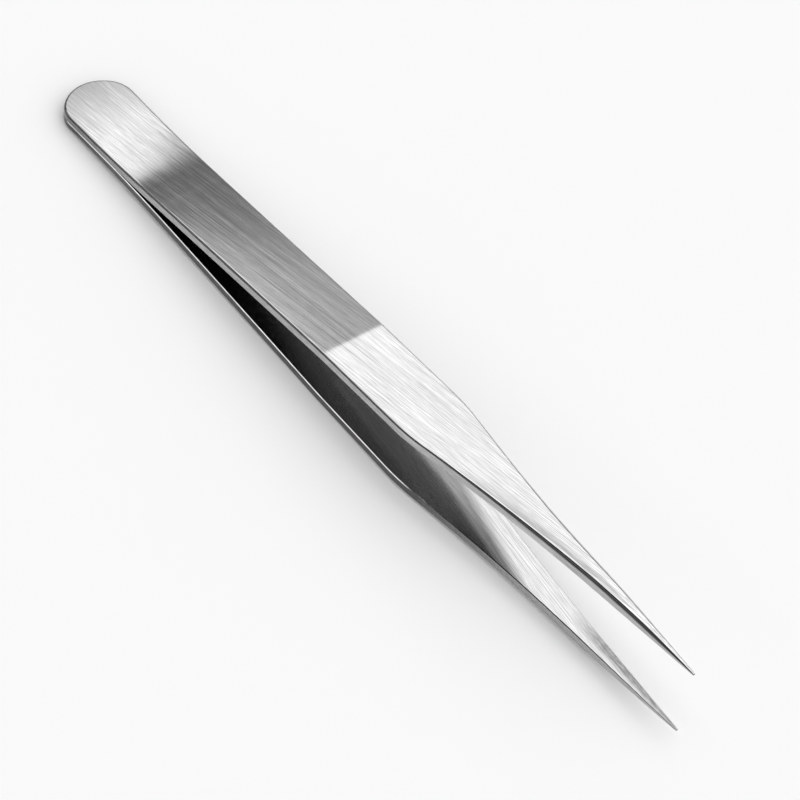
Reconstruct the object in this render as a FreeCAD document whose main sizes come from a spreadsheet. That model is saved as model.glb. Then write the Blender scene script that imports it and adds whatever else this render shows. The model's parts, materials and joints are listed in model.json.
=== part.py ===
import FreeCAD, Part
import math
import os
import re

import Sketcher

# Straight tweezers with fine points, made of two equal sheet-steel arms.
# Each arm is a bent strip with a round heel. The two heels lie face to face and are welded there.
# From the heel the arm springs outward, turns back a little at the second bend, and keeps the width
# of the blade up to its shoulder. Past the shoulder it tapers on a hollow flank to a fine point.
# Arm frame: X from the heel's end to the point, Y across, Z outward, with the joint face at Z = 0.
# Part frame: the tweezers lie on the lower arm, which touches the table at its heel and second bend.

# Lengths are in millimetres and angles in degrees.
SIZES = {
    # Stretches along the arm, from the heel's end to the point
    "heel_length": 17.0,
    "spring_length": 39.6,
    "blade_length": 16.2,
    "taper_length": 30.3,
    "point_length": 17.0,
    # Widths of one arm seen from above
    "blade_width": 9.55,
    "heel_swell": 0.3,
    "tip_width": 0.3,
    # Round end of the heel: a flat end arc between two tighter corner arcs
    "heel_end_flattening": 0.5,
    "heel_corner_inset": 1.1,
    # Thickness of one arm
    "heel_thickness": 1.0,
    "arm_thickness": 1.25,
    "neck_thickness": 1.55,
    "tip_thickness": 0.22,
    # Bends seen from the side; the angles are measured from the joint face
    "spring_angle": 4.3,
    "blade_angle": 2.15,
    "first_bend_radius": 180.0,
    "second_bend_radius": 35.0,
    # Taper seen from above
    "shoulder_round": 2.6,
    "flank_angle": 3.75,
    # Crown of the point, ahead of the shoulder: its outer edges start to grow round at the first
    # length and are full at the second
    "crown_length": 4.3,
    "full_round_length": 19.3,
    "crown_angle": 8.0,
    # Edges
    "edge_radius": 0.3,
    "arris_break": 0.1,
}

# How far the trimming cuts reach past the strip
CUT_MARGIN = 3.0
# Share of the half width that the edge round takes from the neck to the tip
ROUND_SHARE = 0.8
# Shares of the tip's width left for its edge round and its arris break
TIP_ROUND_SHARE = 0.35
TIP_BREAK_SHARE = 0.12
# Where the shoulder's round gets a section, from its start to its end
SHOULDER_SHARES = (0, 0.25, 0.5, 0.75, 1)
# Where the point gets its one section between the tip and the neck
POINT_SHARE = 0.38

doc = FreeCAD.newDocument("tweezers")
sheet = doc.addObject("Spreadsheet::Sheet", "sizes")
for row, (alias, number) in enumerate(SIZES.items(), start=1):
    sheet.set(f"A{row}", alias)
    sheet.set(f"B{row}", str(number))
    sheet.setAlias(f"B{row}", alias)
doc.recompute()


# Formulas of the arm, written with the sheet's names

HALF_BLADE = "blade_width / 2"
HALF_HEEL = "(blade_width / 2 + heel_swell)"
HEEL_END_RADIUS = f"({HALF_HEEL} + heel_end_flattening)"
CORNER_RADIUS = f"({HALF_HEEL} - heel_corner_inset)"
CORNER_X = (f"({HEEL_END_RADIUS} - sqrt((heel_end_flattening + heel_corner_inset)^2"
            " - heel_corner_inset^2))")
# Second bend, where the straight lines of the joint side meet
BEND_X = "(heel_length + spring_length * cos(spring_angle))"
BEND_Z = "(spring_length * sin(spring_angle))"
# Hollow flank between the heel's corner and the second bend, tangent at both ends
WAIST_RADIUS = (f"(({BEND_X} - {CORNER_X})^2 / (2 * heel_swell) + heel_swell / 2"
                f" - {CORNER_RADIUS})")
# Where the strip ends and the drawn-out blade takes over, from the second bend
STRIP_END = "(blade_length - shoulder_round)"
FRONT_LENGTH = "(blade_length + taper_length + point_length)"


def linked(formula):
    """The formula with each name replaced by a link to its cell."""
    names = "|".join(SIZES)
    return re.sub(rf"\b({names})\b", r"sizes.\1", formula)


def size(formula):
    """The formula's present value."""
    return float(sheet.evalExpression(linked(formula)))


def check(condition, message):
    if not condition:
        raise RuntimeError(message)


# Sketch helpers

def origin_plane(body, role):
    return next(f for f in body.Origin.OriginFeatures if f.Role == role)


def new_sketch(body, name, role):
    sketch = body.newObject("Sketcher::SketchObject", name)
    sketch.AttachmentSupport = (origin_plane(body, role), "")
    sketch.MapMode = "FlatFace"
    return sketch


def rule(sketch, kind, *places):
    return sketch.addConstraint(Sketcher.Constraint(kind, *places))


def bind(sketch, name, kind, *places, formula):
    """Add a dimension that follows the sheet."""
    value = size(formula)
    unit = ""
    if kind == "Angle":
        value = math.radians(value)
        unit = " * 1 deg"
    index = sketch.addConstraint(Sketcher.Constraint(kind, *places, value))
    sketch.renameConstraint(index, name)
    sketch.setExpression(f"Constraints.{name}", f"({linked(formula)}){unit}")


def point(x, y):
    return FreeCAD.Vector(x, y, 0)


def add_line(sketch, start, end):
    return sketch.addGeometry(Part.LineSegment(start, end), False)


def add_arc(sketch, start, middle, end):
    return sketch.addGeometry(Part.Arc(start, middle, end), False)


# How a sketch numbers a line's places and its own axes
START, END, CENTRE = range(1, 4)
X_AXIS, Y_AXIS = -1, -2
ORIGIN = (X_AXIS, START)


# Side profile of the strip: heel, first bend, spring stretch, second bend and the blade's root

def bend_points(corner, angle_in, angle_out, radius):
    """Start, middle and end of the arc that rounds a corner between two directions."""
    turn = angle_out - angle_in
    reach = abs(radius * math.tan(turn / 2))
    side = math.copysign(1, turn)
    start = corner - point(math.cos(angle_in), math.sin(angle_in)) * reach
    end = corner + point(math.cos(angle_out), math.sin(angle_out)) * reach
    centre = start + point(-math.sin(angle_in), math.cos(angle_in)) * radius * side
    outward = corner - centre
    middle = centre + outward * (radius / outward.Length)
    return start, middle, end


def draw_side_profile(body, name):
    sketch = new_sketch(body, name, "XZ_Plane")
    spring = math.radians(size("spring_angle"))
    blade = math.radians(size("blade_angle"))
    first_radius = size("first_bend_radius")
    second_radius = size("second_bend_radius")
    thick = size("arm_thickness")
    heel_thick = size("heel_thickness")

    # Joint side
    inner_first = point(size("heel_length"), 0)
    inner_second = point(size(BEND_X), size(BEND_Z))
    inner_end = inner_second + point(math.cos(blade), math.sin(blade)) * size(STRIP_END)
    inner_arc_1 = bend_points(inner_first, 0, spring, first_radius)
    inner_arc_2 = bend_points(inner_second, spring, blade, second_radius)

    # Outer side: the spring stretch and the blade run parallel to the joint side
    spring_normal = point(-math.sin(spring), math.cos(spring))
    blade_normal = point(-math.sin(blade), math.cos(blade))
    outer_end = inner_end + blade_normal * thick
    middle_turn = (spring + blade) / 2
    half_turn = (spring - blade) / 2
    outer_second = inner_second + point(-math.sin(middle_turn), math.cos(middle_turn)) * (
        thick / math.cos(half_turn))
    on_spring = inner_first + spring_normal * thick
    back = (on_spring.y - heel_thick) / math.sin(spring)
    outer_first = on_spring - point(math.cos(spring), math.sin(spring)) * back
    outer_arc_1 = bend_points(outer_first, 0, spring, first_radius)
    outer_arc_2 = bend_points(outer_second, spring, blade, second_radius + thick)

    heel_line = add_line(sketch, point(0, 0), inner_arc_1[0])
    first_arc = add_arc(sketch, *inner_arc_1)
    spring_line = add_line(sketch, inner_arc_1[2], inner_arc_2[0])
    second_arc = add_arc(sketch, *inner_arc_2)
    blade_line = add_line(sketch, inner_arc_2[2], inner_end)
    end_line = add_line(sketch, inner_end, outer_end)
    outer_blade = add_line(sketch, outer_end, outer_arc_2[2])
    outer_second_arc = add_arc(sketch, *outer_arc_2)
    outer_spring = add_line(sketch, outer_arc_2[0], outer_arc_1[2])
    outer_first_arc = add_arc(sketch, *outer_arc_1)
    outer_heel = add_line(sketch, outer_arc_1[0], point(0, heel_thick))
    heel_end = add_line(sketch, point(0, heel_thick), point(0, 0))
    first_corner = sketch.addGeometry(Part.Point(inner_first), True)
    second_corner = sketch.addGeometry(Part.Point(inner_second), True)

    # An arc runs anticlockwise, so the second bends are entered at their end
    smooth_joints = [
        (heel_line, END, first_arc, START),
        (first_arc, END, spring_line, START),
        (spring_line, END, second_arc, END),
        (second_arc, START, blade_line, START),
        (outer_blade, END, outer_second_arc, START),
        (outer_second_arc, END, outer_spring, START),
        (outer_spring, END, outer_first_arc, END),
        (outer_first_arc, START, outer_heel, START),
    ]
    for joint in smooth_joints:
        rule(sketch, "Tangent", *joint)
    rule(sketch, "Coincident", blade_line, END, end_line, START)
    rule(sketch, "Coincident", end_line, END, outer_blade, START)
    rule(sketch, "Coincident", outer_heel, END, heel_end, START)
    rule(sketch, "Coincident", heel_end, END, heel_line, START)
    rule(sketch, "Coincident", heel_line, START, *ORIGIN)
    rule(sketch, "Horizontal", heel_line)
    rule(sketch, "Horizontal", outer_heel)
    rule(sketch, "Vertical", heel_end)
    rule(sketch, "Perpendicular", blade_line, end_line)
    rule(sketch, "Perpendicular", end_line, outer_blade)
    rule(sketch, "Parallel", spring_line, outer_spring)
    rule(sketch, "PointOnObject", first_corner, START, X_AXIS)
    rule(sketch, "PointOnObject", first_corner, START, spring_line)
    rule(sketch, "PointOnObject", second_corner, START, spring_line)
    rule(sketch, "PointOnObject", second_corner, START, blade_line)

    bind(sketch, "heel_length", "DistanceX", *ORIGIN, first_corner, START, formula="heel_length")
    bind(sketch, "spring_length", "Distance", first_corner, START, second_corner, START,
         formula="spring_length")
    bind(sketch, "strip_end", "Distance", second_corner, START, blade_line, END,
         formula=STRIP_END)
    bind(sketch, "spring_angle", "Angle", heel_line, START, spring_line, START,
         formula="spring_angle")
    bind(sketch, "blade_angle", "Angle", heel_line, START, blade_line, START,
         formula="blade_angle")
    bind(sketch, "first_radius", "Radius", first_arc, formula="first_bend_radius")
    bind(sketch, "outer_first_radius", "Radius", outer_first_arc, formula="first_bend_radius")
    bind(sketch, "second_radius", "Radius", second_arc, formula="second_bend_radius")
    bind(sketch, "outer_second_radius", "Radius", outer_second_arc,
         formula="second_bend_radius + arm_thickness")
    bind(sketch, "heel_thickness", "DistanceY", heel_end, END, heel_end, START,
         formula="heel_thickness")
    bind(sketch, "arm_thickness", "Distance", end_line, START, end_line, END,
         formula="arm_thickness")
    bind(sketch, "spring_thickness", "Distance", outer_spring, START, spring_line,
         formula="arm_thickness")
    return sketch


# Plan of the strip: the two hollow flanks, then the round end of the heel

def draw_flank_cuts(body, name):
    """Closed areas outside both flanks, from past the heel to past the strip's end."""
    sketch = new_sketch(body, name, "XY_Plane")
    bend_x = size(BEND_X)
    half = size(HALF_BLADE)
    radius = size(WAIST_RADIUS)
    back = -CUT_MARGIN
    front = bend_x + size(STRIP_END) + CUT_MARGIN
    rim = size(HALF_HEEL) + CUT_MARGIN

    def flank_height(x):
        return half + radius - math.sqrt(radius**2 - (bend_x - x)**2)

    for side in (1, -1):
        tag = "left" if side > 0 else "right"
        arc = add_arc(sketch,
                      point(back, side * flank_height(back)),
                      point(bend_x / 2, side * flank_height(bend_x / 2)),
                      point(bend_x, side * half))
        straight = add_line(sketch, point(bend_x, side * half), point(front, side * half))
        front_line = add_line(sketch, point(front, side * half), point(front, side * rim))
        rim_line = add_line(sketch, point(front, side * rim), point(back, side * rim))
        back_line = add_line(sketch, point(back, side * rim),
                             point(back, side * flank_height(back)))
        near, far = (START, END) if side > 0 else (END, START)
        rule(sketch, "Tangent", arc, far, straight, START)
        rule(sketch, "Coincident", straight, END, front_line, START)
        rule(sketch, "Coincident", front_line, END, rim_line, START)
        rule(sketch, "Coincident", rim_line, END, back_line, START)
        rule(sketch, "Coincident", back_line, END, arc, near)
        rule(sketch, "Horizontal", straight)
        rule(sketch, "Vertical", front_line)
        rule(sketch, "Horizontal", rim_line)
        rule(sketch, "Vertical", back_line)
        low, high = ((ORIGIN, (straight, START)) if side > 0
                     else ((straight, START), ORIGIN))
        bind(sketch, f"{tag}_half_width", "DistanceY", *low, *high, formula=HALF_BLADE)
        bind(sketch, f"{tag}_bend", "DistanceX", *ORIGIN, straight, START, formula=BEND_X)
        bind(sketch, f"{tag}_waist", "Radius", arc, formula=WAIST_RADIUS)
        bind(sketch, f"{tag}_back", "DistanceX", rim_line, END, *ORIGIN,
             formula=f"{CUT_MARGIN}")
        bind(sketch, f"{tag}_front", "DistanceX", *ORIGIN, straight, END,
             formula=f"{BEND_X} + {STRIP_END} + {CUT_MARGIN}")
        low, high = ((ORIGIN, (rim_line, START)) if side > 0
                     else ((rim_line, START), ORIGIN))
        bind(sketch, f"{tag}_rim", "DistanceY", *low, *high,
             formula=f"{HALF_HEEL} + {CUT_MARGIN}")
    return sketch


def draw_heel_cut(body, name):
    """The closed area behind the round end: one end arc and two corner arcs, all tangent."""
    sketch = new_sketch(body, name, "XY_Plane")
    end_radius = size(HEEL_END_RADIUS)
    corner_radius = size(CORNER_RADIUS)
    corner_x = size(CORNER_X)
    corner_y = size("heel_corner_inset")
    # The corner arc leaves the end arc on the line through both centres
    end_turn = math.atan2(corner_y, end_radius - corner_x)
    # and meets the hollow flank on the line through their centres
    share = f"{CORNER_RADIUS} / ({WAIST_RADIUS} + {CORNER_RADIUS})"
    leave_x = f"({CORNER_X} + ({BEND_X} - {CORNER_X}) * {share})"
    flank_turn = math.asin((size(leave_x) - corner_x) / corner_radius)
    rim = size(HALF_HEEL) + CUT_MARGIN

    def on_end(angle):
        return point(end_radius - end_radius * math.cos(angle), end_radius * math.sin(angle))

    def on_corner(side, angle):
        return point(corner_x - corner_radius * math.cos(angle),
                     side * (corner_y + corner_radius * math.sin(angle)))

    last_turn = math.pi / 2 + flank_turn
    mid_turn = (end_turn + last_turn) / 2
    end_arc = add_arc(sketch, on_end(end_turn), on_end(0), on_end(-end_turn))
    left_leave = on_corner(1, last_turn)
    left_arc = add_arc(sketch, left_leave, on_corner(1, mid_turn), on_corner(1, end_turn))
    right_arc = add_arc(sketch, on_corner(-1, end_turn), on_corner(-1, mid_turn),
                        on_corner(-1, last_turn))
    corners = [left_leave,
               point(left_leave.x, rim),
               point(-CUT_MARGIN, rim),
               point(-CUT_MARGIN, -rim),
               point(left_leave.x, -rim),
               point(left_leave.x, -left_leave.y)]
    left_up, top, back, bottom, right_down = [add_line(sketch, a, b)
                                              for a, b in zip(corners, corners[1:])]

    rule(sketch, "Tangent", left_arc, END, end_arc, START)
    rule(sketch, "Tangent", end_arc, END, right_arc, START)
    rule(sketch, "Coincident", left_arc, START, left_up, START)
    rule(sketch, "Coincident", left_up, END, top, START)
    rule(sketch, "Coincident", top, END, back, START)
    rule(sketch, "Coincident", back, END, bottom, START)
    rule(sketch, "Coincident", bottom, END, right_down, START)
    rule(sketch, "Coincident", right_down, END, right_arc, END)
    rule(sketch, "Vertical", left_up)
    rule(sketch, "Horizontal", top)
    rule(sketch, "Horizontal", bottom)
    rule(sketch, "Vertical", right_down)
    rule(sketch, "PointOnObject", end_arc, CENTRE, X_AXIS)
    rule(sketch, "Symmetric", left_arc, CENTRE, right_arc, CENTRE, X_AXIS)
    rule(sketch, "Vertical", left_arc, START, right_arc, END)
    rule(sketch, "Symmetric", top, END, bottom, START, X_AXIS)

    bind(sketch, "end_radius", "Radius", end_arc, formula=HEEL_END_RADIUS)
    bind(sketch, "end_place", "DistanceX", *ORIGIN, end_arc, CENTRE, formula=HEEL_END_RADIUS)
    bind(sketch, "corner_radius", "Radius", left_arc, formula=CORNER_RADIUS)
    bind(sketch, "corner_inset", "DistanceY", *ORIGIN, left_arc, CENTRE,
         formula="heel_corner_inset")
    bind(sketch, "leave_place", "DistanceX", *ORIGIN, left_arc, START, formula=leave_x)
    bind(sketch, "back_place", "DistanceX", back, START, *ORIGIN, formula=f"{CUT_MARGIN}")
    bind(sketch, "rim_place", "DistanceY", *ORIGIN, top, START,
         formula=f"{HALF_HEEL} + {CUT_MARGIN}")
    return sketch


# Cross-sections of the drawn-out blade, each square to it

def hollow_flank(reach):
    """Half width at a reach from the tip where the flank is hollow, behind the neck."""
    excess = f"({HALF_BLADE} - tip_width / 2 - (taper_length + point_length) * tan(flank_angle))"
    return (f"({straight_flank(reach)} + {excess}"
            f" * (({reach} - point_length) / taper_length)^2)")


def straight_flank(reach):
    """Half width at a reach from the tip where the flank is straight, ahead of the neck."""
    return f"(tip_width / 2 + {reach} * tan(flank_angle))"


def rising_thickness(reach):
    """Thickness behind the neck: it grows evenly from the strip's end to the neck."""
    share = (f"(({FRONT_LENGTH} - {STRIP_END} - {reach})"
             f" / ({FRONT_LENGTH} - {STRIP_END} - point_length))")
    return f"(arm_thickness + (neck_thickness - arm_thickness) * {share})"


def falling_thickness(reach):
    """Thickness ahead of the neck: it falls to the tip on a curve."""
    sag = "(point_length * tan(crown_angle) - (neck_thickness - tip_thickness))"
    return f"(tip_thickness + {reach} * tan(crown_angle) - {sag} * ({reach} / point_length)^2)"


def point_round(reach):
    """Edge radius ahead of the neck, where it follows the width."""
    return f"({straight_flank(reach)} * {ROUND_SHARE})"


def blade_sections():
    """Reach from the tip, half width, thickness, edge radius and arris break of each section."""
    shoulder = "(taper_length + point_length)"
    after_half = hollow_flank(f"({shoulder} - shoulder_round)")
    crown_start = f"({shoulder} - crown_length)"
    full_start = f"({shoulder} - full_round_length)"
    swelling = f"(({crown_start} + {full_start}) / 2)"
    behind_neck = f"(({full_start} + point_length) / 2)"
    mid_point = f"(point_length * {POINT_SHARE})"
    edge = "edge_radius"
    arris = "arris_break"
    full_round = point_round("point_length")
    half_grown = f"((edge_radius + {full_round}) / 2)"
    tip_break = f"(tip_width * {TIP_BREAK_SHARE})"
    mid_break = f"((arris_break + {tip_break}) / 2)"
    sections = []
    # The shoulder is rounded on a parabola that leaves each flank at the same distance
    for share in SHOULDER_SHARES:
        reach = f"({shoulder} + shoulder_round * {1 - 2 * share})"
        half_width = f"({HALF_BLADE} - ({HALF_BLADE} - {after_half}) * {share}^2)"
        sections.append((reach, half_width, rising_thickness(reach), edge, arris))
    for reach, edge_round in [(crown_start, edge), (swelling, half_grown),
                              (full_start, full_round), (behind_neck, full_round)]:
        sections.append((reach, hollow_flank(reach), rising_thickness(reach), edge_round, arris))
    sections += [
        ("point_length", straight_flank("point_length"), "neck_thickness", full_round, arris),
        (mid_point, straight_flank(mid_point), falling_thickness(mid_point),
         point_round(mid_point), mid_break),
        ("0", "tip_width / 2", "tip_thickness", f"tip_width * {TIP_ROUND_SHARE}", tip_break),
    ]
    return sections


def draw_section(body, name, reach, half_width, thickness, edge_round, arris):
    """A flat joint face with broken arrises, square sides and a rounded outer side."""
    sketch = new_sketch(body, name, "YZ_Plane")
    along = f"({FRONT_LENGTH} - {reach})"
    turn = FreeCAD.Rotation(FreeCAD.Vector(1, 0, 0), -size("blade_angle"))
    sketch.AttachmentOffset = FreeCAD.Placement(FreeCAD.Vector(0, 0, 0), turn)
    sketch.setExpression("AttachmentOffset.Base.y",
                         linked(f"{BEND_Z} + {along} * sin(blade_angle)"))
    sketch.setExpression("AttachmentOffset.Base.z",
                         linked(f"{BEND_X} + {along} * cos(blade_angle)"))
    sketch.setExpression("AttachmentOffset.Rotation.Angle", linked("-blade_angle * 1 deg"))

    wide = size(half_width)
    high = size(thickness)
    rad = size(edge_round)
    cut = size(arris)
    diagonal = rad * math.sqrt(0.5)
    bottom = add_line(sketch, point(-wide + cut, 0), point(wide - cut, 0))
    right_break = add_line(sketch, point(wide - cut, 0), point(wide, cut))
    right_side = add_line(sketch, point(wide, cut), point(wide, high - rad))
    right_round = add_arc(sketch, point(wide, high - rad),
                          point(wide - rad + diagonal, high - rad + diagonal),
                          point(wide - rad, high))
    top = add_line(sketch, point(wide - rad, high), point(-wide + rad, high))
    left_round = add_arc(sketch, point(-wide + rad, high),
                         point(-wide + rad - diagonal, high - rad + diagonal),
                         point(-wide, high - rad))
    left_side = add_line(sketch, point(-wide, high - rad), point(-wide, cut))
    left_break = add_line(sketch, point(-wide, cut), point(-wide + cut, 0))

    rule(sketch, "Coincident", bottom, END, right_break, START)
    rule(sketch, "Coincident", right_break, END, right_side, START)
    rule(sketch, "Coincident", left_side, END, left_break, START)
    rule(sketch, "Coincident", left_break, END, bottom, START)
    rule(sketch, "Tangent", right_side, END, right_round, START)
    rule(sketch, "Tangent", right_round, END, top, START)
    rule(sketch, "Tangent", top, END, left_round, START)
    rule(sketch, "Tangent", left_round, END, left_side, START)
    rule(sketch, "Horizontal", top)
    rule(sketch, "Vertical", right_side)
    rule(sketch, "Vertical", left_side)
    rule(sketch, "PointOnObject", bottom, START, X_AXIS)
    rule(sketch, "Symmetric", bottom, START, bottom, END, Y_AXIS)
    rule(sketch, "Symmetric", left_side, END, right_side, START, Y_AXIS)
    rule(sketch, "Equal", right_round, left_round)

    bind(sketch, "width", "DistanceX", left_side, END, right_side, START,
         formula=f"2 * {half_width}")
    bind(sketch, "thickness", "DistanceY", bottom, END, top, START, formula=thickness)
    bind(sketch, "edge_round", "Radius", right_round, formula=edge_round)
    bind(sketch, "break_across", "DistanceX", bottom, END, right_break, END, formula=arris)
    bind(sketch, "break_up", "DistanceY", bottom, END, right_break, END, formula=arris)
    return sketch


# Edges picked by place

def joint_height(x):
    """Height of the joint side at a distance from the heel's end, bends left sharp."""
    bend_x = size(BEND_X)
    if x < size("heel_length"):
        return 0.0
    if x < bend_x:
        return (x - size("heel_length")) * math.tan(math.radians(size("spring_angle")))
    return size(BEND_Z) + (x - bend_x) * math.tan(math.radians(size("blade_angle")))


def lengthwise_edges(shape, outer):
    """Names of the edges that run along the strip and round its heel, on one of its faces."""
    half_thick = size("heel_thickness") / 2
    names = []
    for number, edge in enumerate(shape.Edges, start=1):
        middle = edge.valueAt((edge.FirstParameter + edge.LastParameter) / 2)
        run = edge.Vertexes[-1].Point - edge.Vertexes[0].Point
        upright = abs(run.z) > half_thick and abs(run.x) < half_thick
        straight_across = abs(run.y) > size(HALF_BLADE) and abs(run.x) < half_thick
        is_outer = middle.z > joint_height(middle.x) + half_thick
        if is_outer == outer and not upright and not straight_across:
            names.append(f"Edge{number}")
    return names


# One arm

def build_arm(name):
    body = doc.addObject("PartDesign::Body", name)
    body.Label = name

    profile = draw_side_profile(body, f"{name}_side_profile")
    strip = body.newObject("PartDesign::Pad", f"{name}_strip")
    strip.Profile = profile
    strip.Midplane = True
    strip.setExpression("Length", linked(f"2 * {HALF_HEEL} + {CUT_MARGIN}"))
    doc.recompute()

    flank_cuts = draw_flank_cuts(body, f"{name}_flank_cuts")
    flanks = body.newObject("PartDesign::Pocket", f"{name}_flanks")
    flanks.Profile = flank_cuts
    flanks.Type = "ThroughAll"
    flanks.Midplane = True
    doc.recompute()

    arrises = body.newObject("PartDesign::Chamfer", f"{name}_arrises")
    arrises.Base = (flanks, lengthwise_edges(flanks.Shape, outer=False))
    arrises.setExpression("Size", linked("arris_break"))
    doc.recompute()

    heel_cut = draw_heel_cut(body, f"{name}_heel_cut")
    heel = body.newObject("PartDesign::Pocket", f"{name}_heel")
    heel.Profile = heel_cut
    heel.Type = "ThroughAll"
    heel.Midplane = True
    doc.recompute()

    edges = body.newObject("PartDesign::Fillet", f"{name}_edges")
    edges.Base = (heel, lengthwise_edges(heel.Shape, outer=True))
    edges.setExpression("Radius", linked("edge_radius"))
    doc.recompute()

    sections = [draw_section(body, f"{name}_section_{number}", *values)
                for number, values in enumerate(blade_sections(), start=1)]
    blade = body.newObject("PartDesign::AdditiveLoft", f"{name}_blade")
    blade.Profile = sections[0]
    blade.Sections = sections[1:]
    doc.recompute()
    body.Tip = blade
    doc.recompute()
    return body


# How the pair lies: the lower arm's heel edge and second bend both touch the table

def rest_tilt_and_lift():
    """Angle in degrees that raises the points, and the height of the joint face at the heel."""
    spring = math.radians(size("spring_angle"))
    blade = math.radians(size("blade_angle"))
    edge_radius = size("edge_radius")
    inner_radius = size("second_bend_radius")
    outer_radius = inner_radius + size("arm_thickness")
    # Centres of the two rounds that touch, on an arm with its outer side up
    heel_x = edge_radius
    heel_z = size("heel_thickness") - edge_radius
    middle = (spring + blade) / 2
    depth = inner_radius / math.cos((spring - blade) / 2)
    bend_x = size(BEND_X) + depth * math.sin(middle)
    bend_z = size(BEND_Z) - depth * math.cos(middle)
    distance = math.hypot(bend_x - heel_x, bend_z - heel_z)
    slope = math.atan2(bend_z - heel_z, bend_x - heel_x)
    tilt = slope + math.asin((outer_radius - edge_radius) / distance)
    lift = heel_z * math.cos(tilt) - heel_x * math.sin(tilt) + edge_radius
    return math.degrees(tilt), lift


def lay_down(upper, lower):
    tilt, lift = rest_tilt_and_lift()
    raised = FreeCAD.Rotation(FreeCAD.Vector(0, 1, 0), -tilt)
    turned_over = FreeCAD.Rotation(FreeCAD.Vector(1, 0, 0), 180)
    upper.Placement = FreeCAD.Placement(FreeCAD.Vector(0, 0, lift), raised)
    lower.Placement = FreeCAD.Placement(FreeCAD.Vector(0, 0, lift), raised.multiply(turned_over))
    doc.recompute()
    boxes = [arm.Shape.optimalBoundingBox(False, False) for arm in (upper, lower)]
    middle_x = (min(box.XMin for box in boxes) + max(box.XMax for box in boxes)) / 2
    for arm in (upper, lower):
        arm.Placement.Base = FreeCAD.Vector(-middle_x, 0, lift)
    doc.recompute()


upper_arm = build_arm("upper_arm")
lower_arm = build_arm("lower_arm")
lay_down(upper_arm, lower_arm)


# Checks, then the files

for item in doc.Objects:
    check("Invalid" not in item.State and "Error" not in item.State, f"{item.Name} failed")
for arm in (upper_arm, lower_arm):
    check(not arm.Shape.isNull() and arm.Shape.isValid(), f"{arm.Label} has no valid shape")
    check(len(arm.Shape.Solids) == 1, f"{arm.Label} is not one solid")

os.makedirs("parts", exist_ok=True)
for arm in (upper_arm, lower_arm):
    arm.Shape.exportStep(f"parts/{arm.Label}.step")
    print(arm.Label, "volume", round(arm.Shape.Volume, 3), "mm3")
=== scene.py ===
import json
import math

import bmesh
import bpy
from mathutils import Matrix, Vector


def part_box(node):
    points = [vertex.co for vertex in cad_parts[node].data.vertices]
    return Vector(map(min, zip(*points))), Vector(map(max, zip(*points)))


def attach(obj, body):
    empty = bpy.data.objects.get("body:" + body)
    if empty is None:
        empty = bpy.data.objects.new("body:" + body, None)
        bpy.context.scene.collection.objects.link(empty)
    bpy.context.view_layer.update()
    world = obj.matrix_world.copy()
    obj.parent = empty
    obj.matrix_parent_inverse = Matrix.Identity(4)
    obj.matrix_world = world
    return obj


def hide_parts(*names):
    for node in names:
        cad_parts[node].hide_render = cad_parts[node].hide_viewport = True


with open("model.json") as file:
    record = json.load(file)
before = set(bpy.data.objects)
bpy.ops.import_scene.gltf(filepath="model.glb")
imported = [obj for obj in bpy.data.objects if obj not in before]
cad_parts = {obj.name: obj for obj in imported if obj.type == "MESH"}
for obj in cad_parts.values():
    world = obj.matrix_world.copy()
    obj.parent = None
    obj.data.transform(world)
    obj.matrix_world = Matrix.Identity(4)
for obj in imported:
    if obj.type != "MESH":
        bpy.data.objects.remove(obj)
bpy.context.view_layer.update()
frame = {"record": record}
scene = bpy.context.scene
scene.view_settings.view_transform = "Standard"


# The studio is a pale table under a wide overhead softbox, in a room with a pale foot. Steel
# shows what it mirrors, so there is a dark band with two cloths behind the heel, a grey wall on
# the far side, a dark flag on the near side and a pale wall beyond the points.

TABLE_HALF_SIZE = 4.0
TABLE_WHITE = (0.94, 0.94, 0.94, 1)
TABLE_ROUGHNESS = 0.9
TABLE_SHINE = 0.1

# Brightness against the sine of the elevation: the softbox, the room's foot, and what stands
# between them on each side
SOFTBOX = [(0.70, 1.34), (0.74, 1.10), (0.785, 0.92), (0.81, 0.75), (0.84, 1.30), (0.92, 1.55)]
FOOT = [(0.00, 0.90), (0.05, 0.90), (0.10, 0.30), (0.50, 0.28)]
BAND = FOOT + [(0.57, 0.18), (0.595, 0.20), (0.611, 1.34)] + SOFTBOX
SIDE_CLOTH = FOOT + [(0.76, 0.26), (0.84, 1.30), (0.92, 1.55)]
CLOTH = FOOT + [(0.57, 0.18), (0.590, 0.19), (0.599, 0.26), (0.608, 0.57), (0.620, 0.52),
                    (0.642, 0.52), (0.650, 1.34)] + SOFTBOX
GREY_WALL = [(0.00, 0.90), (0.05, 0.90), (0.10, 0.30), (0.46, 0.30), (0.54, 1.34), (0.88, 1.30),
             (0.92, 1.55)]
FLAG = [(0.00, 0.90), (0.05, 0.90), (0.08, 0.03), (0.39, 0.03), (0.41, 1.30), (0.52, 1.30),
        (0.54, 0.03), (0.90, 0.03), (0.95, 1.55)]
PALE_WALL = [(0.00, 0.90), (0.30, 1.05), (0.70, 1.28), (0.88, 1.28), (0.92, 1.55)]
BRIGHTEST = 1.55
# Each one hides those before it on the side that its direction points to, up to a soft limit
SCREENS = [
    (SIDE_CLOTH, (-1.0, -0.3, -0.84), 0.01),
    (CLOTH, (0.1617, 0.8551, -0.4934), 0.003),
    (GREY_WALL, (0.731, 0.682, 0.0), 0.03),
    (FLAG, (0.0, -1.0, -0.4), 0.03),
    (PALE_WALL, (1.0, 0.0, 0.0), 0.1),
]


def add_node(tree, kind, inputs=None, **settings):
    """Add a node with its settings and its unlinked inputs."""
    made = tree.nodes.new(kind)
    for name, value in settings.items():
        setattr(made, name, value)
    for name, value in (inputs or {}).items():
        made.inputs[name].default_value = value
    return made


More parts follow.
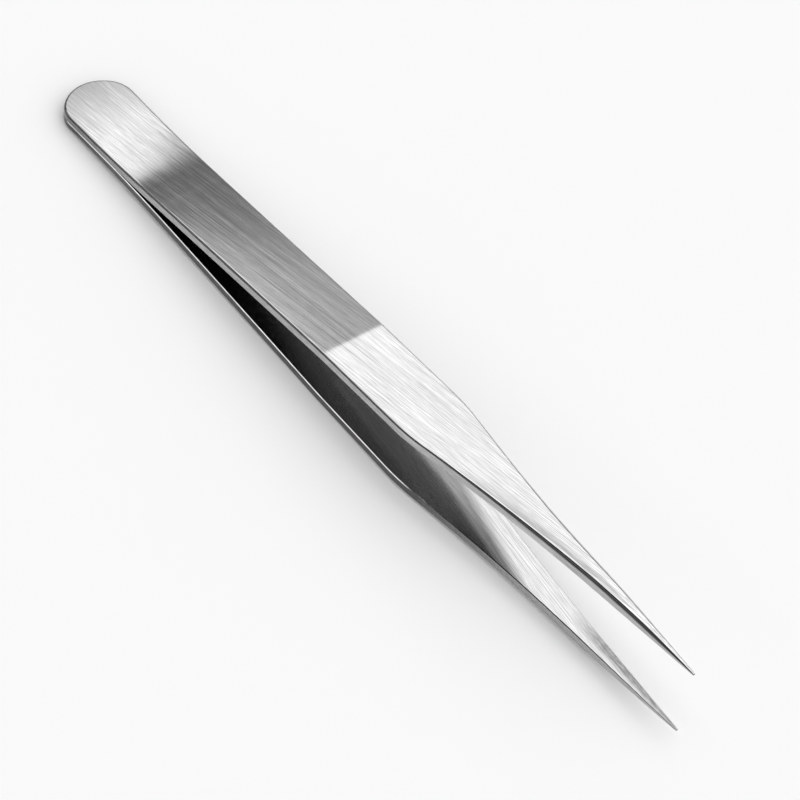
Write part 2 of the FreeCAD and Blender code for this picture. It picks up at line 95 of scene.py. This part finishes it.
def build_room():
    world = bpy.data.worlds.new("room")
    scene.world = world
    world.use_nodes = True
    tree = world.node_tree
    tree.nodes.clear()
    direction = add_node(tree, "ShaderNodeTexCoord").outputs["Generated"]
    parts = add_node(tree, "ShaderNodeSeparateXYZ")
    tree.links.new(direction, parts.inputs["Vector"])

    def brightness(levels):
        ramp = add_node(tree, "ShaderNodeValToRGB")
        stops = ramp.color_ramp.elements
        while len(stops) < len(levels):
            stops.new(0.5)
        for stop, (height, level) in zip(stops, levels):
            stop.position = height
            stop.color = (level / BRIGHTEST,) * 3 + (1,)
        tree.links.new(parts.outputs["Z"], ramp.inputs["Fac"])
        return ramp.outputs["Color"]

    seen = brightness(BAND)
    for levels, side, blur in SCREENS:
        turned = add_node(tree, "ShaderNodeVectorMath", operation="DOT_PRODUCT")
        turned.inputs[1].default_value = side
        share = add_node(tree, "ShaderNodeMapRange", {"From Min": -blur, "From Max": blur},
                         interpolation_type="SMOOTHSTEP")
        screen = add_node(tree, "ShaderNodeMix", data_type="RGBA")
        tree.links.new(direction, turned.inputs[0])
        tree.links.new(turned.outputs["Value"], share.inputs["Value"])
        tree.links.new(share.outputs["Result"], screen.inputs["Factor"])
        colours = [socket for socket in screen.inputs if socket.type == "RGBA"]
        tree.links.new(seen, colours[0])
        tree.links.new(brightness(levels), colours[1])
        seen = next(socket for socket in screen.outputs if socket.type == "RGBA")
    glow = add_node(tree, "ShaderNodeBackground", {"Strength": BRIGHTEST})
    out = add_node(tree, "ShaderNodeOutputWorld")
    tree.links.new(seen, glow.inputs["Color"])
    tree.links.new(glow.outputs["Background"], out.inputs["Surface"])


def build_table():
    half = TABLE_HALF_SIZE
    mesh = bpy.data.meshes.new("table_top")
    mesh.from_pydata([(-half, -half, 0), (half, -half, 0), (half, half, 0), (-half, half, 0)],
                     [], [(0, 1, 2, 3)])
    table = bpy.data.objects.new("table_top", mesh)
    scene.collection.objects.link(table)
    paint = bpy.data.materials.new("table_white")
    paint.use_nodes = True
    shader = paint.node_tree.nodes["Principled BSDF"]
    shader.inputs["Base Color"].default_value = TABLE_WHITE
    shader.inputs["Roughness"].default_value = TABLE_ROUGHNESS
    shader.inputs["Specular IOR Level"].default_value = TABLE_SHINE
    mesh.materials.append(paint)


build_room()
build_table()


# The camera looks down on the tweezers from the near side, beyond their middle, and is turned
# about its own line of sight so that they run from the upper left to the lower right.

CAMERA_PLACE = Vector((0.204231, -0.242227, 0.381571))
CAMERA_RIGHT = Vector((0.619195, 0.767039, 0.168074))
CAMERA_BACK = Vector((0.406140, -0.496026, 0.767469))
CAMERA_LENS = 178.5
CAMERA_SENSOR = 36.0
CAMERA_NEAREST = 0.01

camera_data = bpy.data.cameras.new("camera")
camera_data.lens = CAMERA_LENS
camera_data.sensor_width = CAMERA_SENSOR
camera_data.clip_start = CAMERA_NEAREST
camera = bpy.data.objects.new("camera", camera_data)
scene.collection.objects.link(camera)
scene.camera = camera
back = CAMERA_BACK.normalized()
right = (CAMERA_RIGHT - back * CAMERA_RIGHT.dot(back)).normalized()
turn = Matrix((right, back.cross(right), back)).transposed()
camera.matrix_world = Matrix.Translation(CAMERA_PLACE) @ turn.to_4x4()


# The flat blank of an arm: sheet steel, punched to a round heel and two hollow flanks, then
# ground to a fine point with rounder outer edges and a crowned face. Both arms come from it.
# It lies with its joint face down at z = 0, its heel's end at x = 0 and its point along x.

HEEL_LENGTH = 0.0170
SPRING_LENGTH = 0.0396
BLADE_LENGTH = 0.0162
TAPER_LENGTH = 0.0303
POINT_LENGTH = 0.0170
FRONT_LENGTH = BLADE_LENGTH + TAPER_LENGTH + POINT_LENGTH
ARM_LENGTH = HEEL_LENGTH + SPRING_LENGTH + FRONT_LENGTH

HALF_BLADE = 0.009550 / 2
HALF_HEEL = HALF_BLADE + 0.0003
HALF_TIP = 0.0003 / 2
HEEL_END_RADIUS = HALF_HEEL + 0.0005
HEEL_CORNER_INSET = 0.0011
HEEL_CORNER_RADIUS = HALF_HEEL - HEEL_CORNER_INSET
SHOULDER_ROUND = 0.0026
FLANK_SLOPE = math.tan(math.radians(3.75))

HEEL_THICKNESS = 0.00100
ARM_THICKNESS = 0.00125
NECK_THICKNESS = 0.00155
TIP_THICKNESS = 0.00022
CROWN_SLOPE = math.tan(math.radians(8.0))

EDGE_RADIUS = 0.0003
ARRIS_BREAK = 0.0001
LEAST_BREAK = 0.000004
CROWN_LENGTH = 0.043
FULL_ROUND_LENGTH = 0.028
FULL_ROUND = 0.0005
ROUND_SHARE = 0.8
TIP_BREAK = 0.000036
FACE_SAG = 0.00016

SPRING_ANGLE = math.radians(4.3)
BLADE_ANGLE = math.radians(2.15)
FIRST_BEND_RADIUS = 0.180
SECOND_BEND_RADIUS = 0.035

# Stations along the blank: each stretch ends here and has this step
STRETCHES = [
    (0.0102, 0.0007),
    (0.0240, 0.0003),
    (0.0555, 0.0009),
    (0.0577, 0.0001),
    (0.0700, 0.0006),
    (0.0756, 0.0002),
    (0.0930, 0.0005),
    (0.1150, 0.0004),
    (ARM_LENGTH, 0.0002),
]
HEEL_ARC_STEPS = 16
ROUND_STEPS = 12
SIDE_STEPS = 2
FACE_STEPS = 5
# The outer face's mesh has a line near its rounded edge, so that it shades flat: this close to it,
# or at this share of the half width where the blank is narrow
FLAT_MARGIN = 0.00004
FLAT_SHARE = 0.9
MERGE_DISTANCE = 0.0000001


def heel_outline():
    """Plan points from the middle of the heel's end round to the hollow flank."""
    corner_x = HEEL_END_RADIUS - math.sqrt(
        (HEEL_END_RADIUS - HEEL_CORNER_RADIUS)**2 - HEEL_CORNER_INSET**2)
    meet = math.atan2(HEEL_CORNER_INSET, HEEL_END_RADIUS - corner_x)
    points = []
    for step in range(HEEL_ARC_STEPS):
        angle = meet * step / HEEL_ARC_STEPS
        points.append((HEEL_END_RADIUS * (1 - math.cos(angle)), HEEL_END_RADIUS * math.sin(angle)))
    for step in range(HEEL_ARC_STEPS + 1):
        angle = meet + (math.pi / 2 - meet) * step / HEEL_ARC_STEPS
        points.append((corner_x - HEEL_CORNER_RADIUS * math.cos(angle),
                       HEEL_CORNER_INSET + HEEL_CORNER_RADIUS * math.sin(angle)))
    return points


def flank_width(x):
    """Half width of the strip: it narrows on a hollow curve from the heel to the second bend."""
    bend = HEEL_LENGTH + SPRING_LENGTH
    share = max(0.0, (bend - x) / (bend - HEEL_CORNER_RADIUS))
    return HALF_BLADE + (HALF_HEEL - HALF_BLADE) * share**2


def taper_width(x):
    """Half width of the taper: hollow behind the neck, straight ahead of it."""
    reach = ARM_LENGTH - x
    straight = HALF_TIP + reach * FLANK_SLOPE
    excess = HALF_BLADE - HALF_TIP - (TAPER_LENGTH + POINT_LENGTH) * FLANK_SLOPE
    return straight + excess * max(0.0, (reach - POINT_LENGTH) / TAPER_LENGTH)**2


def half_width(x):
    shoulder = HEEL_LENGTH + SPRING_LENGTH + BLADE_LENGTH
    if x <= shoulder - SHOULDER_ROUND:
        return flank_width(x)
    if x >= shoulder + SHOULDER_ROUND:
        return taper_width(x)
    share = (x - shoulder + SHOULDER_ROUND) / (2 * SHOULDER_ROUND)
    return HALF_BLADE - (HALF_BLADE - taper_width(shoulder + SHOULDER_ROUND)) * share**2


def bent_height(x, corner, radius):
    """Height above the heel's plane of a line that turns up at a corner, on a wide arc."""
    start = corner - radius * math.tan(SPRING_ANGLE / 2)
    end = start + radius * math.sin(SPRING_ANGLE)
    if x <= start:
        return 0.0
    if x <= end:
        return (x - start)**2 / (2 * radius)
    return (x - corner) * math.tan(SPRING_ANGLE)


def thickness(x):
    shoulder_start = HEEL_LENGTH + SPRING_LENGTH + BLADE_LENGTH - SHOULDER_ROUND
    neck = ARM_LENGTH - POINT_LENGTH
    if x <= HEEL_LENGTH + SPRING_LENGTH:
        # The outer face turns up a little before the joint face, until the full thickness is there
        gain = ARM_THICKNESS - HEEL_THICKNESS
        outer_corner = HEEL_LENGTH - gain / math.tan(SPRING_ANGLE)
        return (HEEL_THICKNESS + bent_height(x, outer_corner, FIRST_BEND_RADIUS)
                - bent_height(x, HEEL_LENGTH, FIRST_BEND_RADIUS))
    if x <= neck:
        share = max(0.0, (x - shoulder_start) / (neck - shoulder_start))
        return ARM_THICKNESS + (NECK_THICKNESS - ARM_THICKNESS) * share
    reach = ARM_LENGTH - x
    sag = POINT_LENGTH * CROWN_SLOPE - (NECK_THICKNESS - TIP_THICKNESS)
    return TIP_THICKNESS + reach * CROWN_SLOPE - sag * (reach / POINT_LENGTH)**2


def crown_share(x):
    """How far the crown has grown: none behind its start, and all of it over the point."""
    reach = ARM_LENGTH - x
    return min(1.0, max(0.0, (CROWN_LENGTH - reach) / (CROWN_LENGTH - FULL_ROUND_LENGTH)))


def edge_round(x):
    """Radius of the outer edges: it grows along the blade, and the narrow tip limits it."""
    radius = EDGE_RADIUS + (FULL_ROUND - EDGE_RADIUS) * crown_share(x)
    return min(radius, ROUND_SHARE * taper_width(x))


def face_sag(x):
    """How much lower the outer face is at its edges than along its middle."""
    narrowed = min(1.0, taper_width(x) / taper_width(ARM_LENGTH - POINT_LENGTH))
    return FACE_SAG * crown_share(x) * narrowed


def arris_break(x, width):
    """Width of the broken joint-side arris. It runs out on the heel's round, where the weld is."""
    reach = ARM_LENGTH - x
    along = min(1.0, reach / POINT_LENGTH)
    cut = TIP_BREAK * (1 - along) + ARRIS_BREAK * along
    return max(LEAST_BREAK, cut - (flank_width(x) - width) if x < HEEL_LENGTH else cut)


def blank_outline():
    """Plan points of one side of the blank, from the heel's end to the point."""
    points = heel_outline()
    for end, step in STRETCHES:
        start = points[-1][0]
        count = max(1, round((end - start) / step))
        for index in range(1, count + 1):
            x = start + (end - start) * index / count
            points.append((x, half_width(x)))
    return points


def outward(points, index):
    """Plan direction square to the outline."""
    if index == 0:
        return Vector((-1, 0))
    before = Vector(points[index - 1])
    after = Vector(points[min(index + 1, len(points) - 1)])
    run = (after - before).normalized()
    return Vector((-run.y, run.x))


def half_section(points, index):
    """Points of one side of a cross-section, from its joint face round to its outer face."""
    x, width = points[index]
    place = Vector((x, width))
    out = outward(points, index)
    thick = thickness(x)
    radius = edge_round(x)
    cut = arris_break(x, width)
    rim = []
    for depth, height in [(cut, 0.0), (0.0, cut)]:
        rim.append((place - out * depth, height))
    for step in range(1, SIDE_STEPS + 1):
        rim.append((place, cut + (thick - radius - cut) * step / SIDE_STEPS))
    for step in range(1, ROUND_STEPS + 1):
        angle = math.pi / 2 * step / ROUND_STEPS
        rim.append((place - out * (radius * (1 - math.cos(angle))),
                    thick - radius + radius * math.sin(angle)))
    section = [Vector((rim[0][0].x, rim[0][0].y * step / FACE_STEPS, 0))
               for step in range(FACE_STEPS)]
    section += [Vector((plan.x, plan.y, height)) for plan, height in rim]
    edge, top = rim[-1]
    flat = max(FLAT_SHARE * edge.y, edge.y - FLAT_MARGIN)
    section += [Vector((edge.x, flat * step / FACE_STEPS, top))
                for step in reversed(range(FACE_STEPS + 1))]
    sag = face_sag(x)
    if sag:
        for spot in section:
            spot.z -= sag * (spot.y / width)**2 * spot.z / thick
    return section


def build_blank():
    """The blank's mesh. Its attribute keeps each point's place on the flat blank."""
    points = blank_outline()
    shape = bmesh.new()
    grain = shape.verts.layers.float_vector.new("grain")
    rings = []
    for index in range(len(points)):
        section = half_section(points, index)
        mirrored = [Vector((p.x, -p.y, p.z)) for p in reversed(section[1:-1])]
        ring = []
        for place in section + mirrored:
            vert = shape.verts.new(place)
            vert[grain] = place
            ring.append(vert)
        rings.append(ring)
    count = len(rings[0])
    for ring, ahead in zip(rings, rings[1:]):
        for index in range(count):
            after = (index + 1) % count
            shape.faces.new((ring[index], ring[after], ahead[after], ahead[index]))
    shape.faces.new(list(reversed(rings[-1])))
    shape.faces.new(rings[0])
    # Both lines of each broken arris stay sharp
    sharp = {FACE_STEPS, FACE_STEPS + 1, count - FACE_STEPS, count - FACE_STEPS - 1}
    for ring, ahead in zip(rings, rings[1:]):
        for index in sharp:
            shape.edges.get((ring[index], ahead[index])).smooth = False
    bmesh.ops.remove_doubles(shape, verts=shape.verts, dist=MERGE_DISTANCE)
    bmesh.ops.recalc_face_normals(shape, faces=shape.faces)
    for face in shape.faces:
        face.smooth = True
    mesh = bpy.data.meshes.new("blank")
    shape.to_mesh(mesh)
    shape.free()
    return mesh


# The press: it bends the flat blank twice along its length, first outwards on a wide arc, then
# back a little on a tight one. The joint face follows the path and everything else stands on it.

BEND_STEPS = 64


def build_press():
    tree = bpy.data.node_groups.new("press", "GeometryNodeTree")
    face = tree.interface
    face.new_socket("Geometry", in_out="OUTPUT", socket_type="NodeSocketGeometry")
    face.new_socket("Geometry", in_out="INPUT", socket_type="NodeSocketGeometry")
    for name, value in [("Heel length", HEEL_LENGTH), ("Spring length", SPRING_LENGTH),
                        ("Front length", FRONT_LENGTH), ("Spring angle", SPRING_ANGLE),
                        ("Blade angle", BLADE_ANGLE), ("First radius", FIRST_BEND_RADIUS),
                        ("Second radius", SECOND_BEND_RADIUS)]:
        face.new_socket(name, in_out="INPUT", socket_type="NodeSocketFloat").default_value = value
    face.new_socket("Finish", in_out="INPUT", socket_type="NodeSocketMaterial")
    given = add_node(tree, "NodeGroupInput").outputs
    result = add_node(tree, "NodeGroupOutput")

    def link(source, target):
        tree.links.new(source, target)

    def leg(length, angle, start):
        """The end of a straight leg that leaves a corner at an angle."""
        run = add_node(tree, "ShaderNodeCombineXYZ")
        turned = add_node(tree, "ShaderNodeVectorRotate", {"Axis": (0, -1, 0)})
        total = add_node(tree, "ShaderNodeVectorMath", operation="ADD")
        link(length, run.inputs["X"])
        link(run.outputs["Vector"], turned.inputs["Vector"])
        if angle is not None:
            link(angle, turned.inputs["Angle"])
        link(turned.outputs["Vector"], total.inputs[0])
        if start is not None:
            link(start, total.inputs[1])
        return total.outputs["Vector"]

    def choose(kind, values):
        """One value for each corner of the path, by its number."""
        chooser = add_node(tree, "GeometryNodeIndexSwitch", data_type=kind)
        while len(chooser.index_switch_items) < len(values):
            chooser.index_switch_items.new()
        number = add_node(tree, "GeometryNodeInputIndex")
        link(number.outputs["Index"], chooser.inputs["Index"])
        for index, value in enumerate(values):
            if value is not None:
                link(value, chooser.inputs[index + 1])
        return chooser.outputs["Output"]

    first = leg(given["Heel length"], None, None)
    second = leg(given["Spring length"], given["Spring angle"], first)
    tip = leg(given["Front length"], given["Blade angle"], second)
    corners = add_node(tree, "GeometryNodePoints", {"Count": 4})
    link(choose("VECTOR", [None, first, second, tip]), corners.inputs["Position"])
    path = add_node(tree, "GeometryNodePointsToCurves")
    link(corners.outputs["Points"], path.inputs["Points"])
    rounded = add_node(tree, "GeometryNodeFilletCurve", {"Count": BEND_STEPS}, mode="POLY")
    link(path.outputs["Curves"], rounded.inputs["Curve"])
    link(choose("FLOAT", [None, given["First radius"], given["Second radius"], None]),
         rounded.inputs["Radius"])

    place = add_node(tree, "GeometryNodeInputPosition")
    parts = add_node(tree, "ShaderNodeSeparateXYZ")
    link(place.outputs["Position"], parts.inputs["Vector"])
    share = add_node(tree, "ShaderNodeMath", operation="DIVIDE")
    share.inputs[1].default_value = ARM_LENGTH
    link(parts.outputs["X"], share.inputs[0])
    sample = add_node(tree, "GeometryNodeSampleCurve", mode="FACTOR")
    link(rounded.outputs["Curve"], sample.inputs["Curves"])
    link(share.outputs["Value"], sample.inputs["Factor"])
    # The joint face's outward direction is square to the path and to the arm's width
    width = add_node(tree, "ShaderNodeCombineXYZ", {"Y": 1.0})
    lift = add_node(tree, "ShaderNodeVectorMath", operation="CROSS_PRODUCT")
    link(sample.outputs["Tangent"], lift.inputs[0])
    link(width.outputs["Vector"], lift.inputs[1])
    raised = add_node(tree, "ShaderNodeVectorMath", operation="SCALE")
    link(lift.outputs["Vector"], raised.inputs[0])
    link(parts.outputs["Z"], raised.inputs["Scale"])
    sideways = add_node(tree, "ShaderNodeCombineXYZ")
    link(parts.outputs["Y"], sideways.inputs["Y"])
    on_path = add_node(tree, "ShaderNodeVectorMath", operation="ADD")
    link(sample.outputs["Position"], on_path.inputs[0])
    link(raised.outputs["Vector"], on_path.inputs[1])
    target = add_node(tree, "ShaderNodeVectorMath", operation="ADD")
    link(on_path.outputs["Vector"], target.inputs[0])
    link(sideways.outputs["Vector"], target.inputs[1])

    bent = add_node(tree, "GeometryNodeSetPosition")
    real = add_node(tree, "GeometryNodeRealizeInstances")
    finish = add_node(tree, "GeometryNodeSetMaterial")
    link(given["Geometry"], bent.inputs["Geometry"])
    link(target.outputs["Vector"], bent.inputs["Position"])
    link(bent.outputs["Geometry"], real.inputs["Geometry"])
    link(real.outputs["Geometry"], finish.inputs["Geometry"])
    link(given["Finish"], finish.inputs["Material"])
    link(finish.outputs["Geometry"], result.inputs["Geometry"])
    return tree


def press_arm(name, blank, press, finish, place):
    """Bend the blank, give it its finish and lay it in its place in the pair."""
    worked = bpy.data.objects.new(name + "_blank", blank)
    scene.collection.objects.link(worked)
    modifier = worked.modifiers.new("press", "NODES")
    modifier.node_group = press
    for socket in press.interface.items_tree:
        if socket.name == "Finish":
            modifier[socket.identifier] = finish
    graph = bpy.context.evaluated_depsgraph_get()
    mesh = bpy.data.meshes.new_from_object(worked.evaluated_get(graph),
                                           preserve_all_data_layers=True, depsgraph=graph)
    bpy.data.objects.remove(worked)
    mesh.name = name
    mesh.transform(place)
    arm = bpy.data.objects.new(name, mesh)
    scene.collection.objects.link(arm)
    return arm


# Stainless steel, ground along the arm a few degrees off its axis. The joint faces carry painted
# shade from the gap between the arms: dark up to a slanting line on the blades and bright ahead
# of it, with a grey patch at the points. The punched edges carry painted reflections, dark on
# their rounds, and the heel's end is painted a shade darker.

# How much light each kind of surface gives back, painted shade and reflections included, and the
# shares of it that painted shade at the heel, scratches and a grey patch leave
BRIGHT_STEEL = 0.68
# Painted shade on the joint faces, and its darkest level
JOINT_SHADE_STEEL = 0.30
DEEPEST_JOINT_SHADE = 0.16
# The edge rounds are painted dark, standing in for a dark reflection
PAINTED_ROUND_DARK = 0.14
# Painted shade at the heel's end
HEEL_SHADE_SHARE = 0.55
SCRATCH_SHARE = 0.80
PATCH_SHARE = 0.35
LEAST_MOTTLE = 0.6
BAND_LEVELS = (0.96, 1.04)
TONE_LEVELS = (0.72, 1.20)
SPECKLE_LEVELS = (0.86, 1.12)

# Shape of the reflections
GRAIN_ANGLE = math.radians(6)
GRAIN_STRETCH = 0.4
GRAIN_TURN = 0.25
POLISH = (0.04, 0.08)
JOINT_ROUGHNESS = 0.14
RIDGE_HEIGHT = 0.0000001
WAVE_HEIGHT = 0.000002

# Length and width of one streak, in metres
RIDGE = (0.008, 0.00015)
HAIR = (0.025, 0.00012)
GRIT = (0.0020, 0.00008)
SCRATCH = (0.020, 0.00012)
BAND_OF_TONE = (0.030, 0.0008)
WAVE = (0.005, 0.003)
MOTTLE = (0.0012, 0.0003)

# Parts of the noise's span that are drawn out to full contrast
NOISE_SPAN = (0.3, 0.7)
MOTTLE_SPAN = (0.3, 0.6)
DOUBLE_NOISE_SPAN = (0.7, 1.3)
SCRATCH_SPAN = (0.66, 0.72)

# Where the finish and its painted shade change on the flat blank, in metres along it, across it and
# above its joint face
# The painted shade at the heel's end fades out along this stretch
HEEL_SHADE_ALONG = (0.0, 0.010)
# The painted shade on the joint faces deepens along the first stretch and ends at a slanting line
# within the second
JOINT_SHADE_ALONG = (0.076, 0.086)
SHADE_LINE_ALONG = (0.0825, 0.0890)
SHADE_LINE_SLANT = -4.0
PATCH_ALONG = (0.100, 0.106)
PATCH_ACROSS = (0.0006, -0.0001)
# The painted highlight on the broken arris fades out along this stretch
SHINING_ARRIS_ALONG = (0.080, 0.090)
ARRIS_ABOVE = (0.00010, 0.00013)
FACE_ABOVE = (0.0, 0.00002)

# How upright the surface's normal is where a side turns into a round, a round into a face, and a
# side into the broken arris
ROUND_UPRIGHT = (0.10, 0.30)
FACE_UPRIGHT = (0.70, 0.84)
ARRIS_UPRIGHT = (0.3, 0.5)

RISING = (0.0, 1.0)
FALLING = (1.0, 0.0)


def steel(name, side_reflection_stretch, side_reflection_levels):
    """The finish of one arm. Along a stretch the painted reflection on its edges' sides changes
    from one level to another.
    """
    material = bpy.data.materials.new(name)
    material.use_nodes = True
    tree = material.node_tree
    shader = tree.nodes["Principled BSDF"]
    shader.inputs["Metallic"].default_value = 1.0
    shader.inputs["Anisotropic"].default_value = GRAIN_STRETCH
    shader.inputs["Anisotropic Rotation"].default_value = GRAIN_TURN

    def link(source, target):
        tree.links.new(source, target)

    place = add_node(tree, "ShaderNodeAttribute", attribute_name="grain")
    turned = add_node(tree, "ShaderNodeVectorRotate", {"Angle": -GRAIN_ANGLE},
                      rotation_type="Z_AXIS")
    link(place.outputs["Vector"], turned.inputs["Vector"])

    def streaks(size, **shape):
        """Noise drawn out along the grain."""
        along, across = size
        scaled = add_node(tree, "ShaderNodeVectorMath", operation="MULTIPLY")
        scaled.inputs[1].default_value = (1 / along, 1 / across, 1 / across)
        noise = add_node(tree, "ShaderNodeTexNoise", {"Scale": 1.0, **shape})
        link(turned.outputs["Vector"], scaled.inputs[0])
        link(scaled.outputs["Vector"], noise.inputs["Vector"])
        return noise.outputs["Fac"]

    def mapped(value, span, levels=RISING):
        """Go from the first level to the second as the value crosses the span."""
        made = add_node(tree, "ShaderNodeMapRange",
                        {"From Min": span[0], "From Max": span[1],
                         "To Min": levels[0], "To Max": levels[1]})
        link(value, made.inputs["Value"])
        return made.outputs["Result"]

    def fed(node, *values):
        """Give a node its inputs in order, as links or as plain numbers."""
        sockets = [socket for socket in node.inputs if socket.enabled]
        for socket, value in zip(sockets, values):
            if isinstance(value, float):
                socket.default_value = value
            else:
                link(value, socket)
        return next(socket for socket in node.outputs if socket.enabled)

    def joined(operation, *values):
        return fed(add_node(tree, "ShaderNodeMath", operation=operation), *values)

    def blended(share, first, second):
        return fed(add_node(tree, "ShaderNodeMix", data_type="FLOAT"), share, first, second)

    ridges = streaks(RIDGE, Detail=3.0, Roughness=0.7)
    hairs = streaks(HAIR, Detail=2.0)
    grit = streaks(GRIT, Detail=1.0)
    scratches = mapped(streaks(SCRATCH, Detail=1.0), SCRATCH_SPAN, (1.0, SCRATCH_SHARE))
    bands = mapped(streaks(BAND_OF_TONE, Detail=1.0), NOISE_SPAN, BAND_LEVELS)
    waves = streaks(WAVE, Detail=1.0)

    # The joint face is where the blank's height is nothing, and an edge faces sideways
    spot = add_node(tree, "ShaderNodeSeparateXYZ")
    link(place.outputs["Vector"], spot.inputs["Vector"])
    x, y, z = (spot.outputs[axis] for axis in "XYZ")
    surface = add_node(tree, "ShaderNodeNewGeometry")
    facing = add_node(tree, "ShaderNodeSeparateXYZ")
    link(surface.outputs["Normal"], facing.inputs["Vector"])
    upright = joined("ABSOLUTE", facing.outputs["Z"])

    # Painted shade between the arms: the joint face is dark behind a slanting line and bright steel
    # ahead of it
    past_shade_line = mapped(joined("MULTIPLY_ADD", y, SHADE_LINE_SLANT, x), SHADE_LINE_ALONG)
    joint_shade = mapped(x, JOINT_SHADE_ALONG, (JOINT_SHADE_STEEL, DEEPEST_JOINT_SHADE))
    # A grey mottled patch on one side of the joint face near the point
    patch = joined("MULTIPLY", mapped(x, PATCH_ALONG), mapped(y, PATCH_ACROSS))
    mottled = mapped(streaks(MOTTLE, Detail=2.0), MOTTLE_SPAN, (LEAST_MOTTLE, 1.0))
    grey_patch = blended(joined("MULTIPLY", patch, mottled), 1.0, PATCH_SHARE)
    joint = joined("MULTIPLY", blended(past_shade_line, joint_shade, BRIGHT_STEEL), grey_patch)
    above = mapped(z, FACE_ABOVE)
    faces = blended(above, joint, BRIGHT_STEEL)

    # Painted reflections on the edges: the sides take a painted level that changes along the arm,
    # and the rounds are painted dark
    side_reflection = mapped(x, side_reflection_stretch, side_reflection_levels)
    edges = blended(mapped(upright, ROUND_UPRIGHT), side_reflection, PAINTED_ROUND_DARK)
    level = blended(mapped(upright, FACE_UPRIGHT), edges, faces)
    # The broken arris beside the joint face keeps the bright steel as a painted highlight line,
    # except at the point
    arris_highlight = joined("MULTIPLY", mapped(z, ARRIS_ABOVE, FALLING), mapped(upright, ARRIS_UPRIGHT))
    arris_highlight = joined("MULTIPLY", joined("MULTIPLY", arris_highlight, above),
                    mapped(x, SHINING_ARRIS_ALONG, FALLING))
    shade = blended(arris_highlight, level, BRIGHT_STEEL)

    # Painted shade: the heel's end is darker
    heel_shade = mapped(x, HEEL_SHADE_ALONG, (HEEL_SHADE_SHARE, 1.0))
    tone = mapped(joined("ADD", ridges, hairs), DOUBLE_NOISE_SPAN, TONE_LEVELS)
    speckle = mapped(grit, NOISE_SPAN, SPECKLE_LEVELS)
    for share in (tone, speckle, bands, scratches, heel_shade):
        shade = joined("MULTIPLY", shade, share)
    colour = add_node(tree, "ShaderNodeCombineColor")
    for channel in ("Red", "Green", "Blue"):
        link(shade, colour.inputs[channel])
    link(colour.outputs["Color"], shader.inputs["Base Color"])
    polish = mapped(hairs, NOISE_SPAN, POLISH)
    link(blended(above, JOINT_ROUGHNESS, polish), shader.inputs["Roughness"])

    along = add_node(tree, "ShaderNodeCombineXYZ",
                     {"X": math.cos(GRAIN_ANGLE), "Y": math.sin(GRAIN_ANGLE)})
    link(along.outputs["Vector"], shader.inputs["Tangent"])
    wave_bump = add_node(tree, "ShaderNodeBump", {"Distance": WAVE_HEIGHT})
    ridge_bump = add_node(tree, "ShaderNodeBump", {"Distance": RIDGE_HEIGHT})
    link(waves, wave_bump.inputs["Height"])
    link(ridges, ridge_bump.inputs["Height"])
    link(wave_bump.outputs["Normal"], ridge_bump.inputs["Normal"])
    link(ridge_bump.outputs["Normal"], shader.inputs["Normal"])
    return material


# The pair: the arms lie face to face at the heel and are welded there. The tweezers rest on the
# lower arm, which touches the table at its heel and its second bend, so the pair is tilted.

# For each arm the stretch along which the painted reflection on its edges' sides changes, and its
# levels before and after
UPPER_SIDE_REFLECTION = ((0.010, 0.020), (0.30, 0.48))
LOWER_SIDE_REFLECTION = ((0.075, 0.095), (0.14, 0.50))

heel_face = Vector(frame["record"]["mounts"][0]["axis"])
rest_tilt = math.atan2(-heel_face.x, heel_face.z)
joint_corner = Vector((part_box("lower_arm")[0].x, 0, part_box("upper_arm")[0].z))
upper_place = Matrix.Translation(joint_corner) @ Matrix.Rotation(-rest_tilt, 4, "Y")
lower_place = upper_place @ Matrix.Rotation(math.pi, 4, "X")

blank = build_blank()
press = build_press()
for node_name, slot, place, edges in [
        ("upper_arm", "upper_steel", upper_place, UPPER_SIDE_REFLECTION),
        ("lower_arm", "lower_steel", lower_place, LOWER_SIDE_REFLECTION)]:
    finish = steel(slot + "_look", *edges)
    arm = press_arm(node_name + "_finished", blank, press, finish, place)
    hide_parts(node_name)
    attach(arm, "root")
